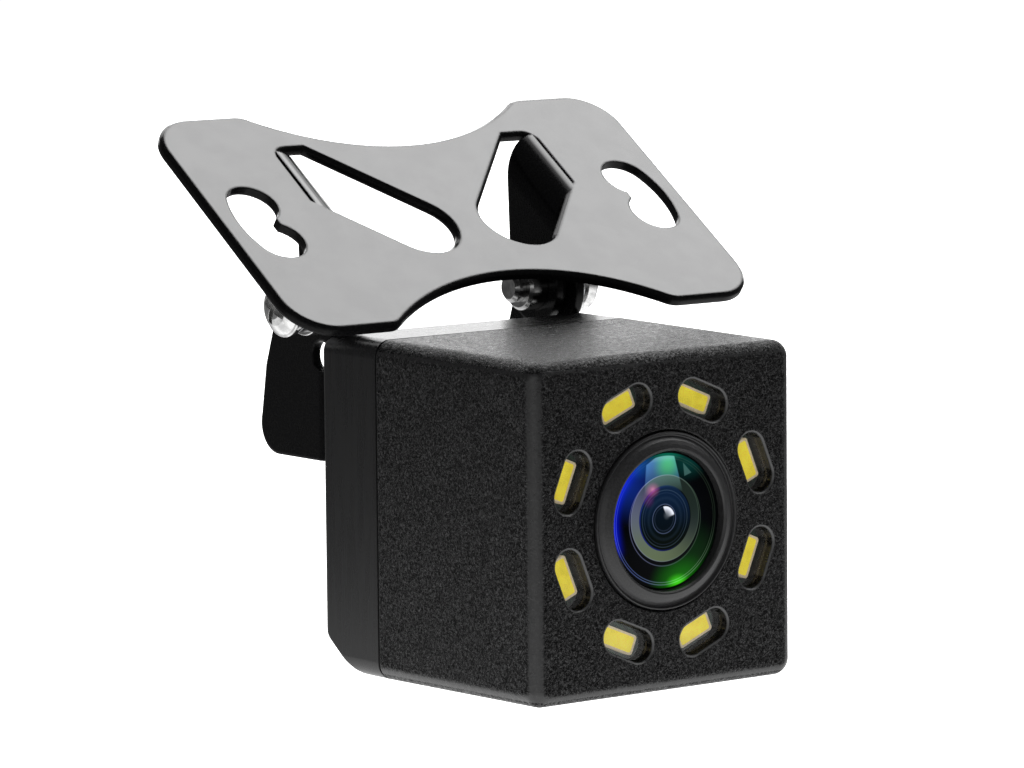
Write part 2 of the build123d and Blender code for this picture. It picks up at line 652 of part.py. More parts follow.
CROWN, FLINT = rear_pair()
SENSOR_Y = SENSOR_BOARD_Y
BACK_Y = SENSOR_BOARD_Y + SENSOR_BOARD_T
NODES = {
    "front_shell": front_shell(),
    "rear_cover": rear_cover(),
    "cover_seal": cover_seal(),
    "cover_screws": screws_at([(-POST_X, COVER_SCREW_Z), (POST_X, COVER_SCREW_Z)], 25.6, 0.8, 12.6, 1.6, 1.2),
    "led_window_pads": window_pads(),
    "led_packages": led_packages(),
    "led_phosphors": led_phosphors(),
    "led_board": led_board(),
    "led_board_screws": screws_at([(-9.6, 0), (9.6, 0)], LED_BOARD_Y + LED_BOARD_T, 0.48, 2.1, 1.0, 0.6),
    "led_resistors": led_resistors(),
    "led_wires": led_wires(),
    "lens_bezel": lens_bezel(),
    "front_element": front_element(),
    "lens_barrel": lens_barrel(),
    "lens_o_ring": lens_o_ring(),
    "lens_spacer_front": spacer_front(),
    "second_element": second_element(),
    "aperture_disc": tube(BORE_R - 0.05, 1.2, 5.22, 5.36),
    "lens_spacer_rear": tube(BORE_R - 0.05, 3.4, 5.38, 6.63),
    "rear_crown_element": CROWN,
    "rear_flint_element": FLINT,
    "lens_retainer": tube(BORE_R - 0.02, 3.3, 9.32, 10.6),
    "lens_holder": lens_holder(),
    "holder_screws": screws_at([(6.1, -6.1), (-6.1, 6.1)], BACK_Y, 0.6, 2.7, 1.1, 0.7),
    "ir_filter": prism(Rectangle(8.6, 8.6), 12.2, 12.55),
    "image_sensor": block(-3.7, 3.7, 13.75, SENSOR_Y, -3.3, 3.3),
    "sensor_cover_glass": block(-3.3, 3.3, 13.45, 13.73, -2.9, 2.9),
    "sensor_board": sensor_board(),
    "board_screws": screws_at([(0, BOARD_POST_Z), (0, -BOARD_POST_Z)], BACK_Y, 0.58, 4.4, 1.1, 0.7),
    "video_processor": chip(0, -1.0, 6.0, 6.0, BACK_Y, 0.9),
    "board_capacitors": capacitors(),
    "header_pins": header_pins(),
    "header_block": header_block(),
    "power_board": power_board(),
    "power_inductor": inductor(),
    "power_capacitor": electrolytic(),
    "cable_socket": cable_socket(),
    "cable_plug": cable_plug(),
    "core_red": cable_core(0),
    "core_black": cable_core(1),
    "core_yellow": cable_core(2),
    "core_white": cable_core(3),
    "cable_boot": cable_boot(),
    "cable_jacket": cable_jacket(),
    "yoke": yoke(),
    "yoke_screws": screws_at([(-POST_X, YOKE_SCREW_Z), (POST_X, YOKE_SCREW_Z)], 28.28, 0.8, 15.2, 1.6, 1.1),
    "mounting_plate": mounting_plate(),
    "clinch_nuts": mirrored(clinch_nut()),
    "pivot_screws": mirrored(pivot_screw()),
    "lock_washers": mirrored(lock_washer()),
    "flat_washers": mirrored(flat_washer()),
    "friction_washers": mirrored(friction_washer()),
}

for node, solids in NODES.items():
    save(node, solids)
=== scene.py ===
import json
import math

import bpy
from mathutils import Matrix, Vector


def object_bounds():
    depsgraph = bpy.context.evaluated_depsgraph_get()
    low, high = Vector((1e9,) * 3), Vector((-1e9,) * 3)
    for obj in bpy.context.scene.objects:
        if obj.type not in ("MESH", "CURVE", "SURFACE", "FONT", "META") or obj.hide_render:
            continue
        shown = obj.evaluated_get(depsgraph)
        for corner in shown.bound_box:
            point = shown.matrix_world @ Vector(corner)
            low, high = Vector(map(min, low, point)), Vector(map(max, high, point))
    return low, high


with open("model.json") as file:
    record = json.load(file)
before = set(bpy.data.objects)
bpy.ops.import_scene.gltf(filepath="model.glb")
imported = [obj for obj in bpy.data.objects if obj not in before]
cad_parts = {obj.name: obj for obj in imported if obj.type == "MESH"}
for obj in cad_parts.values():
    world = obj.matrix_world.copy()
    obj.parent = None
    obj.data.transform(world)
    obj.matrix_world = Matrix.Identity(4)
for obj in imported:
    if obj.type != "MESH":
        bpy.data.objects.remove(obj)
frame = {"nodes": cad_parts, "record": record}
CAD_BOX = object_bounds()
MM = 0.001
PIVOT_Y, PIVOT_Z = 29.9, 15.5
PLATE_NORMAL = (0.0, -0.5750, 0.8181)
PLATE_RISE = 7.94
LAMP_RING_R = 9.9
LAMP_EDGE_R = 1.38
LAMP_HALF_LENGTH = 1.2
CAMERA_DISTANCE = 433.7
FOCAL_LENGTH = 195.926
FLOOR_DROP = 14.0


# ---------------------------------------------------------------- node graph helper
class Graph:
    """Builds one procedural material. Coordinates are the part's own frame, in millimetres."""

    def __init__(self, name):
        self.mat = bpy.data.materials.new(name)
        self.mat.use_nodes = True
        self.tree = self.mat.node_tree
        self.tree.nodes.clear()
        self.out = self.tree.nodes.new("ShaderNodeOutputMaterial")
        place = self.add("TexCoord")
        self.mm = self.vec("SCALE", place.outputs["Object"], scale=1 / MM)

    def add(self, kind, **props):
        node = self.tree.nodes.new("ShaderNode" + kind)
        for key, value in props.items():
            setattr(node, key, value)
        return node

    def put(self, socket, value):
        if isinstance(value, bpy.types.NodeSocket):
            self.tree.links.new(value, socket)
        elif isinstance(value, (tuple, list)) and len(value) == 3 and socket.type == "RGBA":
            socket.default_value = (*value, 1.0)
        else:
            socket.default_value = value

    def math(self, op, a, b=None, c=None, clamp=False):
        node = self.add("Math", operation=op, use_clamp=clamp)
        for socket, value in zip(node.inputs, (a, b, c)):
            if value is not None:
                self.put(socket, value)
        return node.outputs[0]

    def vec(self, op, a, b=None, scale=None):
        node = self.add("VectorMath", operation=op)
        self.put(node.inputs[0], a)
        if b is not None:
            self.put(node.inputs[1], b)
        if scale is not None:
            self.put(node.inputs["Scale"], scale)
        return node.outputs["Value" if op in ("LENGTH", "DOT_PRODUCT", "DISTANCE") else "Vector"]

    def split(self, vector):
        node = self.add("SeparateXYZ")
        self.put(node.inputs[0], vector)
        return node.outputs[0], node.outputs[1], node.outputs[2]

    def join(self, x, y, z):
        node = self.add("CombineXYZ")
        for socket, value in zip(node.inputs, (x, y, z)):
            self.put(socket, value)
        return node.outputs[0]

    def noise(self, scale, detail=3.0, rough=0.5, stretch=(1, 1, 1), distortion=0.0, coords=None):
        node = self.add("TexNoise")
        vector = self.vec("MULTIPLY", coords or self.mm, stretch)
        self.put(node.inputs["Vector"], vector)
        node.inputs["Scale"].default_value = scale
        node.inputs["Detail"].default_value = detail
        node.inputs["Roughness"].default_value = rough
        node.inputs["Distortion"].default_value = distortion
        return node.outputs[0]

    def span(self, value, lo, hi, a=0.0, b=1.0, kind="SMOOTHSTEP"):
        node = self.add("MapRange", interpolation_type=kind, clamp=True)
        for key, item in (("Value", value), ("From Min", lo), ("From Max", hi), ("To Min", a), ("To Max", b)):
            self.put(node.inputs[key], item)
        return node.outputs[0]

    def mix(self, fac, a, b, blend="MIX"):
        node = self.add("Mix", data_type="RGBA", blend_type=blend, clamp_factor=True)
        self.put(node.inputs[0], fac)
        self.put(node.inputs[6], (*a, 1.0) if isinstance(a, tuple) and len(a) == 3 else a)
        self.put(node.inputs[7], (*b, 1.0) if isinstance(b, tuple) and len(b) == 3 else b)
        return node.outputs[2]

    def bump(self, height, distance, strength=1.0, normal=None):
        """Bump whose height is in millimetres."""
        node = self.add("Bump")
        node.inputs["Strength"].default_value = strength
        node.inputs["Distance"].default_value = distance * MM
        self.put(node.inputs["Height"], height)
        if normal is not None:
            self.put(node.inputs["Normal"], normal)
        return node.outputs[0]

    def rounded(self, radius):
        node = self.add("Bevel", samples=4)
        node.inputs["Radius"].default_value = radius * MM
        return node.outputs[0]

    def normal_in_frame(self, normal):
        """A world normal turned into the object's own axes."""
        node = self.add("VectorTransform", vector_type="NORMAL", convert_from="WORLD", convert_to="OBJECT")
        self.put(node.inputs[0], normal)
        return node.outputs[0]

    def principled(self, color, rough, normal=None, **extra):
        node = self.add("BsdfPrincipled")
        self.put(node.inputs["Base Color"], color)
        self.put(node.inputs["Roughness"], rough)
        if normal is not None:
            self.put(node.inputs["Normal"], normal)
        for key, value in extra.items():
            self.put(node.inputs[key.replace("_", " ")], value)
        return node.outputs[0]

    def shade(self, shader):
        self.tree.links.new(shader, self.out.inputs["Surface"])
        return self.mat


# ---------------------------------------------------------------- materials
def lamp_rim(g):
    """One along the eased lip round each of the eight lamp openings, zero elsewhere."""
    x, y, z = g.split(g.mm)
    eighth = math.radians(45.0)
    angle = g.math("ARCTAN2", z, x)
    local = g.math("SUBTRACT", g.math("WRAP", angle, eighth, 0.0), eighth / 2)
    radius = g.vec("LENGTH", g.join(x, 0.0, z))
    across = g.math("SUBTRACT", g.math("MULTIPLY", radius, g.math("COSINE", local)), LAMP_RING_R)
    along = g.math("ABSOLUTE", g.math("MULTIPLY", radius, g.math("SINE", local)))
    along = g.math("MAXIMUM", g.math("SUBTRACT", along, LAMP_HALF_LENGTH), 0.0)
    reach = g.vec("LENGTH", g.join(across, along, 0.0))
    lip = g.span(g.math("ABSOLUTE", g.math("SUBTRACT", reach, LAMP_EDGE_R)), 0.03, 0.11, 1.0, 0.0)
    return g.math("MULTIPLY", lip, g.span(y, 0.15, 0.25, 1.0, 0.0))


def eroded_plastic():
    """Black ABS with a fine wavy spark-eroded grain that fades out over the rounded edges."""
    g = Graph("eroded_black_plastic")
    warp = g.noise(2.2, 1.0)
    coarse = g.noise(5.4, 1.0, 0.5, distortion=1.2)
    fine = g.noise(12.0, 2.0, 0.6, distortion=0.5)
    height = g.math("ADD", g.math("MULTIPLY", coarse, 0.62), g.math("MULTIPLY", fine, 0.38))
    soft = g.rounded(0.12)
    own = g.normal_in_frame(soft)
    nx, ny, nz = g.split(g.vec("ABSOLUTE", own))
    _, _, up = g.split(own)
    # the top edges keep more of their grain than the others
    nz = g.math("MULTIPLY", nz, g.span(up, 0.0, 0.2, 1.0, 1.5))
    steepest = g.math("MAXIMUM", g.math("MAXIMUM", nx, ny), g.math("MULTIPLY", nz, 1.6))
    flat = g.span(steepest, 0.93, 0.995, 0.2, 1.0)
    rim = lamp_rim(g)
    flat = g.math("MULTIPLY", flat, g.math("SUBTRACT", 1.0, rim))
    contrast = g.math("POWER", g.span(height, 0.40, 0.68), 1.4)
    bend = g.math("SUBTRACT", 1.0, flat)
    level = g.math("ADD", g.math("MULTIPLY", contrast, flat), g.math("MULTIPLY", bend, 0.4))
    drift = g.span(g.noise(0.12, 2.0), 0.3, 0.7, 0.0, 0.2)
    color = g.mix(level, (0.0014, 0.0014, 0.0015), (0.0290, 0.0293, 0.0300))
    color = g.mix(drift, color, (0.009, 0.009, 0.0095))
    # painted highlight: the lips round the lamp openings are drawn lighter than the grain
    color = g.mix(rim, color, (0.048, 0.049, 0.050))
    rough = g.span(warp, 0.3, 0.7, 0.27, 0.38)
    normal = g.bump(g.math("MULTIPLY", height, flat), 0.15, 1.0, normal=soft)
    shine = g.span(level, 0.0, 1.0, 0.03, 0.54, kind="LINEAR")
    shine = g.math("ADD", shine, g.math("MULTIPLY", bend, 0.5))
    return g.shade(g.principled(color, rough, normal, Specular_IOR_Level=shine))


def satin_plastic():
    """Smooth black ABS of the rear cover, with faint polishing streaks down its sides."""
    g = Graph("satin_black_plastic")
    streak = g.noise(1.6, 4.0, 0.6, stretch=(1.0, 1.0, 0.08))
    grain = g.noise(14.0, 3.0)
    color = g.mix(g.span(streak, 0.3, 0.72), (0.008, 0.008, 0.0084), (0.011, 0.011, 0.0114))
    rough = g.span(streak, 0.3, 0.7, 0.26, 0.30)
    normal = g.bump(grain, 0.006, 0.5, normal=g.rounded(0.1))
    return g.shade(g.principled(color, rough, normal, Specular_IOR_Level=0.34))


def gloss_paint():
    """Black enamel on pressed steel, thin and dull over bends and cut edges, with specks of dust."""
    g = Graph("gloss_black_enamel")
    peel = g.noise(0.5, 2.0, 0.4)
    speck = g.noise(7.0, 3.0, 0.7)
    soft = g.rounded(0.30)
    level = g.vec("DOT_PRODUCT", g.normal_in_frame(soft), PLATE_NORMAL)
    from_pivot = g.vec("SUBTRACT", g.mm, (0.0, PIVOT_Y, PIVOT_Z))
    rise = g.vec("DOT_PRODUCT", from_pivot, PLATE_NORMAL)
    on_top = g.span(rise, PLATE_RISE - 0.10, PLATE_RISE - 0.01)
    flat = g.math("MULTIPLY", g.span(level, 0.93, 0.998), on_top)
    height = g.math("ADD", g.math("MULTIPLY", peel, 0.8), g.math("MULTIPLY", speck, 0.03))
    color = g.mix(g.span(speck, 0.35, 0.75), (0.003, 0.003, 0.0034), (0.010, 0.010, 0.010))
    rough = g.span(speck, 0.3, 0.75, 0.11, 0.21)
    normal = g.bump(height, 0.006, 0.5, normal=soft)
    blot = g.span(g.noise(0.35, 3.0, 0.6), 0.3, 0.7, 0.93, 1.0)
    shine = g.math("MULTIPLY", g.math("MULTIPLY_ADD", flat, 0.70, 0.10), blot)
    coat = g.math("MULTIPLY", g.math("MULTIPLY", flat, 0.6), blot)
    return g.shade(g.principled(color, rough, normal, Specular_IOR_Level=shine, Coat_Weight=coat,
                                Coat_Roughness=0.08, Coat_Normal=normal))


def bright_nickel():
    """Nickel plated steel, finely turned, with painted shade on the parts between the tabs."""
    g = Graph("bright_nickel")
    rings = g.noise(6.0, 3.0, 0.6, stretch=(6, 1, 1))
    stain = g.noise(1.4, 3.0)
    x, _, _ = g.split(g.mm)
    outside = g.span(g.math("ABSOLUTE", x), 11.0, 13.5)
    color = g.mix(g.span(stain, 0.35, 0.7), (0.72, 0.72, 0.715), (0.46, 0.46, 0.46))
    # painted shade: the parts between the tabs are mixed halfway to near black
    color = g.mix(outside, g.mix(0.5, color, (0.05, 0.05, 0.05)), color)
    rough = g.span(rings, 0.3, 0.7, 0.14, 0.26)
    normal = g.bump(rings, 0.006, 0.5, normal=g.rounded(0.07))
    return g.shade(g.principled(color, rough, normal, Metallic=1.0))


def zinc_steel():
    g = Graph("zinc_steel")
    grain = g.noise(7.0, 4.0, 0.65)
    color = g.mix(g.span(grain, 0.3, 0.7), (0.50, 0.51, 0.53), (0.36, 0.36, 0.36))
    rough = g.span(grain, 0.3, 0.7, 0.26, 0.42)
    normal = g.bump(grain, 0.008, 0.5, normal=g.rounded(0.06))
    return g.shade(g.principled(color, rough, normal, Metallic=1.0))


def black_anodised(name="black_anodised", painted_lift=1.0):
    """Satin black anodised ring with faint turning marks about the lens axis."""
    g = Graph(name)
    x, _, z = g.split(g.mm)
    radius = g.vec("LENGTH", g.join(x, 0.0, z))
    turning = g.noise(3.0, 4.0, 0.7, coords=g.join(g.math("MULTIPLY", radius, 9.0), 0.0, 0.0))
    grain = g.noise(8.0, 3.0)
    color = g.mix(g.span(grain, 0.3, 0.7), (0.012 * painted_lift, 0.012 * painted_lift, 0.0124 * painted_lift),
                  (0.022 * painted_lift, 0.022 * painted_lift, 0.0228 * painted_lift))
    rough = g.span(grain, 0.3, 0.7, 0.34, 0.46)
    height = g.math("ADD", g.math("MULTIPLY", turning, 0.3), g.math("MULTIPLY", grain, 0.7))
    return g.shade(g.principled(color, rough, g.bump(height, 0.02, 0.7)))


def phosphor():
    """Yellow phosphor in clear silicone, faintly grainy and clouded, with a painted glow that is stronger for
    the camera.
    """
    g = Graph("yellow_phosphor_painted_glow")
    grain = g.noise(9.0, 3.0, 0.6)
    cloud = g.noise(1.1, 2.0)
    color = g.mix(g.span(grain, 0.3, 0.7), (0.70, 0.56, 0.020), (0.82, 0.68, 0.040))
    color = g.mix(g.span(cloud, 0.35, 0.7, 0.0, 0.5), color, (0.62, 0.48, 0.014))
    # painted glow: the phosphor gives off its own colour, far more of it to the camera
    seen = g.add("LightPath").outputs["Is Camera Ray"]
    glow = g.math("MULTIPLY_ADD", seen, 0.56, 0.14)
    node = g.principled(color, g.span(grain, 0.3, 0.7, 0.30, 0.5), g.bump(grain, 0.02, 0.5),
                        Emission_Color=color, Emission_Strength=glow)
    return g.shade(node)


def led_body():
    g = Graph("led_package_painted_glow")
    grain = g.noise(8.0, 3.0)
    color = g.mix(g.span(grain, 0.3, 0.7), (0.66, 0.52, 0.32), (0.78, 0.66, 0.45))
    # painted glow: the packages give off their own colour to every ray
    return g.shade(g.principled(color, g.span(grain, 0.3, 0.7, 0.35, 0.5), g.bump(grain, 0.01, 0.4),
                                Emission_Color=color, Emission_Strength=0.34))


def clear_pad():
    """Thin clear acrylic pane: see-through, with a bright edge and a light surface ripple."""
    g = Graph("clear_acrylic")
    ripple = g.noise(0.8, 2.0)
    normal = g.bump(ripple, 0.02, 0.4, normal=g.rounded(0.05))
    facing = g.add("Fresnel")
    facing.inputs["IOR"].default_value = 1.49
    g.put(facing.inputs["Normal"], normal)
    gloss = g.add("BsdfGlossy")
    gloss.inputs["Color"].default_value = (1, 1, 1, 1)
    g.put(gloss.inputs["Roughness"], g.span(ripple, 0.3, 0.7, 0.03, 0.09))
    g.put(gloss.inputs["Normal"], normal)
    clear = g.add("BsdfTransparent")
    g.put(clear.inputs["Color"], g.mix(g.span(ripple, 0.3, 0.7), (0.93, 0.94, 0.94), (0.98, 0.98, 0.98)))
    mix = g.add("MixShader")
    g.put(mix.inputs[0], g.math("MINIMUM", g.math("MULTIPLY", facing.outputs[0], 0.75), 0.07))
    g.put(mix.inputs[1], clear.outputs[0])
    g.put(mix.inputs[2], gloss.outputs[0])
    return g.shade(mix.outputs[0])


def plain_glass(name, tint):
    g = Graph(name)
    ripple = g.noise(1.5, 2.0)
    color = g.mix(g.span(ripple, 0.3, 0.7), tint, tuple(min(1.0, c * 1.05) for c in tint))
    rough = g.span(ripple, 0.3, 0.7, 0.01, 0.03)
    return g.shade(g.principled(color, rough, g.bump(ripple, 0.001, 0.2), Transmission_Weight=0.85, IOR=1.52))


def circuit_board():
    """Green solder mask with copper tracks showing through as lighter lines."""
    g = Graph("circuit_board")
    wave = g.add("TexWave", wave_type="BANDS", bands_direction="DIAGONAL")
    g.put(wave.inputs["Vector"], g.mm)
    wave.inputs["Scale"].default_value = 0.9
    wave.inputs["Distortion"].default_value = 6.0
    wave.inputs["Detail"].default_value = 1.0
    weave = g.noise(12.0, 2.0, stretch=(1, 1, 4))
    tracks = g.span(wave.outputs["Fac"], 0.60, 0.68)
    color = g.mix(tracks, (0.006, 0.040, 0.022), (0.016, 0.085, 0.040))
    color = g.mix(g.span(weave, 0.35, 0.7, 0.0, 0.3), color, (0.02, 0.05, 0.03))
    rough = g.span(weave, 0.3, 0.7, 0.25, 0.4)
    return g.shade(g.principled(color, rough, g.bump(tracks, 0.02, 0.6)))


def grained(name, dark, light, rough=(0.4, 0.6), scale=6.0, depth=0.012, metal=0.0, edge=0.05):
    """General moulded or cast surface: two-tone grain, uneven gloss and light bump."""
    g = Graph(name)
    grain = g.noise(scale, 4.0, 0.6)
    patch = g.noise(scale * 0.12, 2.0)
    color = g.mix(g.span(grain, 0.3, 0.7), dark, light)
    color = g.mix(g.span(patch, 0.35, 0.7, 0.0, 0.25), color, dark)
    value = g.span(grain, 0.3, 0.7, rough[0], rough[1])
    normal = g.bump(grain, depth, 0.6, normal=g.rounded(edge))
    return g.shade(g.principled(color, value, normal, Metallic=metal))


def lens_dome():
    """Coated front glass. Its reflections, flashes and the rings below it are painted as glow on one flat
    layer.
    """
    g = Graph("front_glass_painted_reflections")
    geo = g.add("NewGeometry")
    ray = g.vec("SCALE", geo.outputs["Incoming"], scale=-1.0)
    turn = g.add("VectorTransform", vector_type="VECTOR", convert_from="WORLD", convert_to="OBJECT")
    g.put(turn.inputs[0], ray)
    rx, ry, rz = g.split(turn.outputs[0])
    px, py, pz = g.split(g.mm)
    ry = g.math("MAXIMUM", ry, 0.35)

    def layer(depth):
        step = g.math("DIVIDE", g.math("SUBTRACT", depth, py), ry)
        x = g.math("MULTIPLY_ADD", rx, step, px)
        z = g.math("MULTIPLY_ADD", rz, step, pz)
        return x, z

    def distance(x, z, cx, cz, sx=1.0, sz=1.0):
        dx = g.math("DIVIDE", g.math("SUBTRACT", x, cx), sx)
        dz = g.math("DIVIDE", g.math("SUBTRACT", z, cz), sz)
        return g.math("SQRT", g.math("ADD", g.math("MULTIPLY", dx, dx), g.math("MULTIPLY", dz, dz)))

    def glow(x, z, cx, cz, sx, sz):
        return g.span(distance(x, z, cx, cz, sx, sz), 0.0, 1.0, 1.0, 0.0)

    def ring(r, mid, half, soft):
        away = g.math("ABSOLUTE", g.math("SUBTRACT", r, mid))
        return g.span(away, half, half + soft, 1.0, 0.0)

    def times(value, fac):
        return g.math("MULTIPLY", value, fac)

    def add_light(base, fac, color):
        return g.mix(1.0, base, g.mix(fac, (0, 0, 0), color), "ADD")

    def toward(degrees, spread):
        """Weight that falls off with the angle round the axis from a direction."""
        return g.span(g.math("COSINE", g.math("SUBTRACT", angle, math.radians(degrees))),
                      math.cos(math.radians(spread)), 1.0)

    x, z = layer(0.12)
    r = distance(x, z, 0.0, 0.0)
    angle = g.math("ARCTAN2", z, x)
    color = g.mix(g.span(r, 0.0, 5.4), (0.0012, 0.0022, 0.0042), (0.0005, 0.0007, 0.0009))
    outside = g.span(r, 3.40, 3.62)
    near_rim = g.span(r, 3.7, 5.25)
    # painted coating reflections: blue on the left, teal over the top, green low on the right
    color = add_light(color, glow(x, z, -3.6, 3.1, 3.4, 3.4), (0.003, 0.016, 0.165))
    edge = times(near_rim, times(near_rim, near_rim))
    color = add_light(color, times(edge, toward(164.0, 50.0)), (0.0, 0.003, 0.52))
    color = add_light(color, times(glow(x, z, -4.9, -1.2, 1.1, 2.6), near_rim), (0.001, 0.004, 0.12))
    color = add_light(color, times(glow(x, z, -2.4, 4.7, 2.0, 1.5), outside), (0.003, 0.045, 0.15))
    color = add_light(color, times(glow(x, z, 0.2, 5.3, 2.6, 0.9), outside), (0.002, 0.12, 0.070))
    color = add_light(color, times(glow(x, z, 2.3, 4.5, 2.6, 1.9), outside), (0.001, 0.030, 0.026))
    color = add_light(color, glow(x, z, 1.25, -5.0, 1.4, 0.85), (0.04, 0.46, 0.008))
    color = add_light(color, times(glow(x, z, 1.5, -4.9, 3.4, 2.5), outside), (0.006, 0.120, 0.002))
    color = add_light(color, times(glow(x, z, 2.9, -2.9, 2.8, 3.2), outside), (0.001, 0.016, 0.001))
    # soft window of the studio light
    left = g.span(g.math("SUBTRACT", x, g.math("MULTIPLY_ADD", z, 0.09, -2.30)), 0.0, 0.14)
    right = g.span(g.math("SUBTRACT", g.math("MULTIPLY_ADD", z, -0.29, 2.47), x), 0.0, 0.12)
    top = g.span(g.math("SUBTRACT", 5.12, distance(x, z, 0.0, 0.0)), 0.0, 0.10)
    corner = g.span(g.math("SUBTRACT", g.math("MULTIPLY_ADD", x, 0.55, 5.56), z), 0.0, 0.12)
    foot = g.span(z, 2.1, 4.7, 0.0, 1.0, "LINEAR")
    pane = times(times(times(times(left, right), top), corner), foot)
    tint = g.mix(g.span(distance(x, z, 0.35, 4.25), 0.1, 1.7), (0.085, 0.50, 0.235), (0.065, 0.175, 0.36))
    tint = g.mix(g.span(z, 4.55, 5.05, 0.0, 0.35), tint, (0.26, 0.46, 0.46))
    color = add_light(color, times(pane, 0.92), tint)
    # small second reflection to its right
    wedge = times(g.span(g.math("MULTIPLY_ADD", z, 0.12, x), 2.34, 2.42),
                  g.span(g.math("ADD", x, g.math("MULTIPLY", z, 0.98)), 6.20, 6.10, 0.0, 1.0))
    wedge = times(wedge, g.span(g.math("MULTIPLY_ADD", x, -0.30, z), 2.70, 2.78))
    color = add_light(color, times(wedge, 0.8), (0.045, 0.105, 0.095))
    # painted reflection on the land of the second element, with painted shade on one side, and the thin edges
    # round it
    land = distance(x, z, 0.0, 0.19)
    band = ring(land, 2.99, 0.38, 0.06)
    shade = toward(222.0, 175.0)
    band_color = g.mix(g.span(z, -3.0, 2.2), (0.110, 0.145, 0.080), (0.105, 0.115, 0.200))
    color = g.mix(times(band, 0.94), color, g.mix(shade, (0.012, 0.020, 0.016), band_color))
    color = add_light(color, times(pane, band), (0.10, 0.20, 0.17))
    rim_line = g.mix(g.span(x, -3.0, 3.0), (0.10, 0.11, 0.20), (0.04, 0.065, 0.045))
    color = add_light(color, times(ring(land, 3.39, 0.01, 0.05), 0.6), rim_line)
    color = add_light(color, times(ring(r, 3.56, 0.01, 0.05), 0.6), rim_line)
    # pupil: painted rings and painted shade, darker towards the stop
    well = distance(x, z, -0.02, 0.15)
    inside = g.span(well, 2.50, 2.58, 1.0, 0.0)
    pupil_shade_and_reflection = g.mix(g.span(z, -1.6, 2.6), (0.0010, 0.0030, 0.0016), (0.004, 0.015, 0.044))
    color = g.mix(times(inside, 0.9), color, pupil_shade_and_reflection)
    color = add_light(color, times(ring(well, 2.50, 0.02, 0.07), toward(190.0, 130.0)), (0.006, 0.010, 0.110))
    color = add_light(color, times(ring(well, 2.24, 0.005, 0.045), 0.7), (0.030, 0.048, 0.065))
    color = add_light(color, times(ring(well, 2.02, 0.005, 0.05), 0.35), (0.020, 0.032, 0.060))
    color = add_light(color, times(ring(well, 1.62, 0.01, 0.20), 0.35), (0.010, 0.018, 0.030))
    heart = distance(x, z, -0.08, 0.14)
    color = g.mix(g.span(heart, 1.10, 1.20, 0.75, 0.0), color, (0.0016, 0.0042, 0.0072))
    color = add_light(color, ring(heart, 1.15, 0.01, 0.05), (0.045, 0.060, 0.110))
    color = add_light(color, times(ring(heart, 0.94, 0.01, 0.06), 0.45), (0.020, 0.030, 0.055))
    # pink flare, drawn out down to the left
    color = add_light(color, glow(x, z, -1.22, 2.52, 0.85, 0.70), (0.26, 0.045, 0.13))
    color = add_light(color, glow(x, z, -1.20, 2.56, 0.34, 0.26), (0.14, 0.055, 0.085))
    color = add_light(color, glow(x, z, -1.62, 1.92, 0.75, 0.95), (0.060, 0.004, 0.055))
    # curved highlight near the middle, brightest along its outer arc
    core = distance(x, z, 0.0, 0.15)
    spark = times(g.span(core, 1.00, 0.93, 0.0, 1.0), g.span(g.math("MULTIPLY_ADD", z, 0.41, x), 0.24, 0.36))
    spark = times(spark, g.span(g.math("MULTIPLY_ADD", x, -0.27, z), 0.08, 0.26))
    level = g.span(core, 0.22, 0.84, 0.06, 1.0, "LINEAR")
    color = add_light(color, times(spark, times(level, level)), (0.78, 0.81, 0.90))
    color = add_light(color, glow(x, z, 0.20, 0.42, 0.42, 0.46), (0.055, 0.065, 0.075))
    # ghost arcs close to the rim
    ghost = g.mix(g.span(x, -4.0, 2.0), (0.045, 0.065, 0.19), (0.085, 0.135, 0.085))
    fade = g.span(g.math("MULTIPLY_ADD", x, 0.5, z), 2.5, -4.5, 0.12, 0.9)
    color = add_light(color, times(ring(r, 4.86, 0.005, 0.05), fade), ghost)
    color = add_light(color, times(ring(r, 5.04, 0.01, 0.05), fade), ghost)
    # painted shade round the rim of the glass, under the bezel's lip
    color = g.mix(g.span(r, 5.22, 5.34), color, (0.0004, 0.0004, 0.0005))
    facing = g.span(ry, 0.35, 0.75, 0.25, 1.0)
    # dust specks, with a faint painted glint added to the glow
    dust = g.noise(7.0, 3.0, 0.6)
    color = g.mix(g.span(dust, 0.6, 0.8, 0.0, 0.02), color, (0.2, 0.2, 0.2))
    glass = g.principled((0.0008, 0.0008, 0.001), g.span(dust, 0.3, 0.7, 0.02, 0.05), None,
                         Emission_Color=color, Emission_Strength=times(facing, 1.1), Specular_IOR_Level=0.02)
    return g.shade(glass)


def rubber(name="soft_rubber"):
    g = Graph(name)
    grain = g.noise(10.0, 4.0, 0.7)
    drift = g.noise(0.6, 2.0)
    color = g.mix(g.span(drift, 0.3, 0.7), (0.011, 0.011, 0.012), (0.021, 0.021, 0.021))
    rough = g.span(grain, 0.3, 0.7, 0.45, 0.62)
    return g.shade(g.principled(color, rough, g.bump(grain, 0.015, 0.7)))


